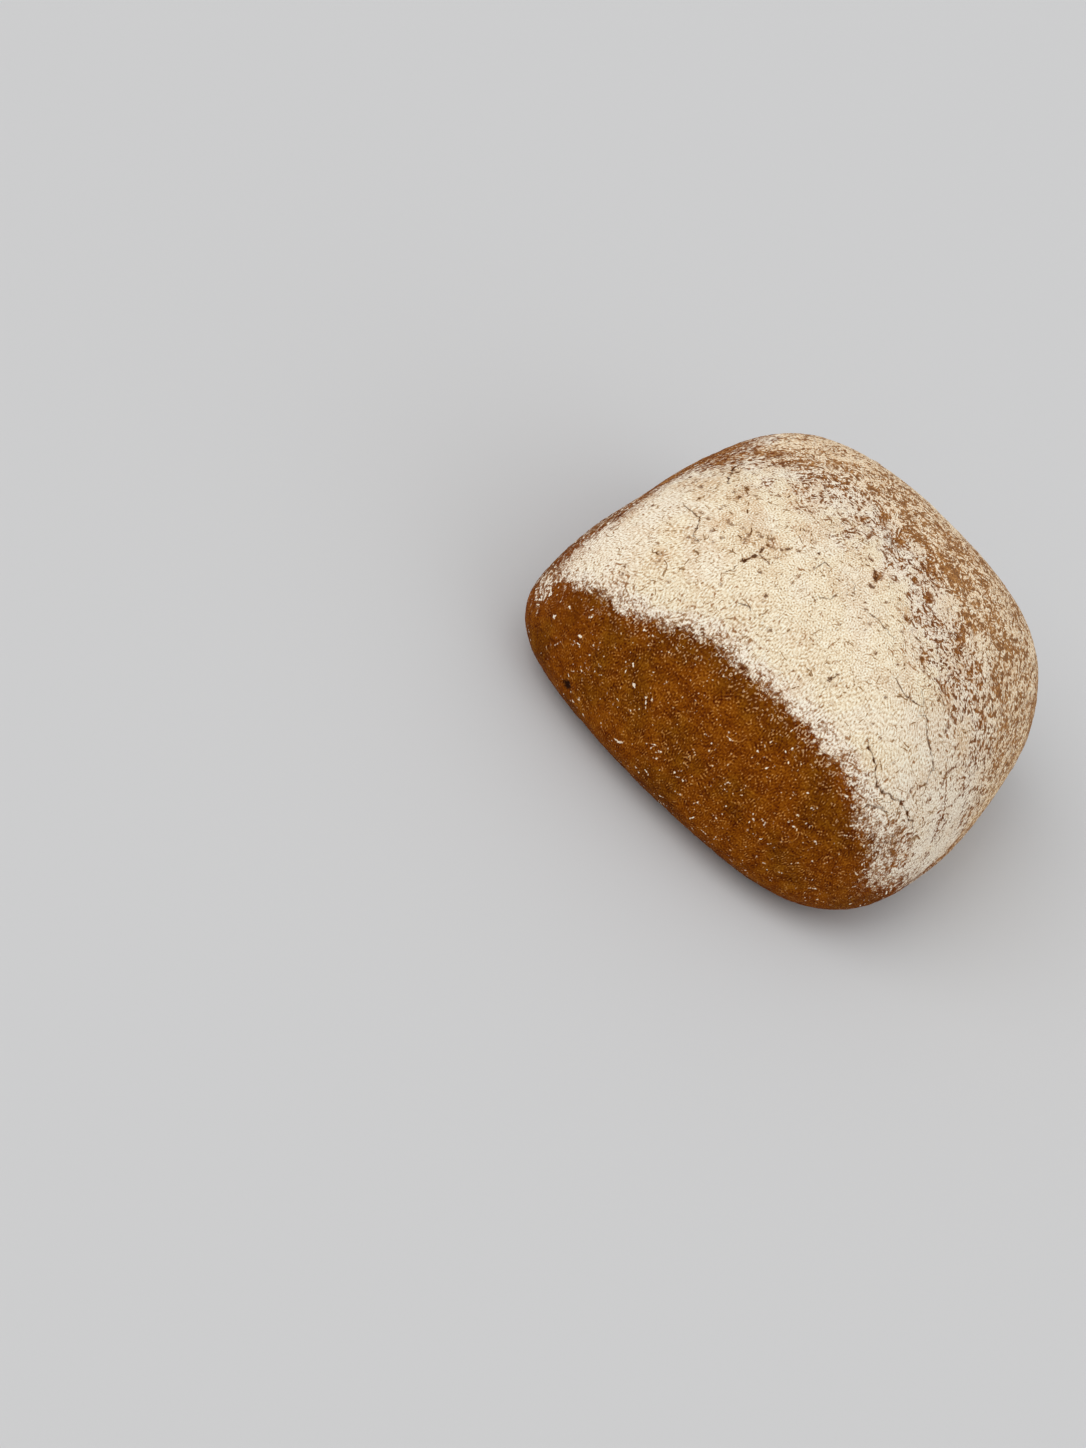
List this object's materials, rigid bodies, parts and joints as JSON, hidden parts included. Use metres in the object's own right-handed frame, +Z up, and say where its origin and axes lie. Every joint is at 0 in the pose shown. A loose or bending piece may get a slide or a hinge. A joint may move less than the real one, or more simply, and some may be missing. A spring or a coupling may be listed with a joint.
{
  "type": "rye bread roll",
  "caption": "Squarish rye bread roll with a flat base, steep brown crust sides and a rounded top thickly dusted with pale flour, to be set on a table, board or plate.",
  "frame": {"origin": "on the flat base, under the middle of the roll's box", "axes": "+Z up from the base through the crown, +X along the slightly longer side, -Y towards the side that is free of flour"},
  "size_m": [0.0958, 0.0938, 0.0539],
  "materials": {
    "crust": "matte baked rye crust, mottled orange brown",
    "flour": "dry matte flour, cream white, finely cracked"
  },
  "bodies": {
    "root": {"bread_roll": "crust"}
  },
  "joints": []
}
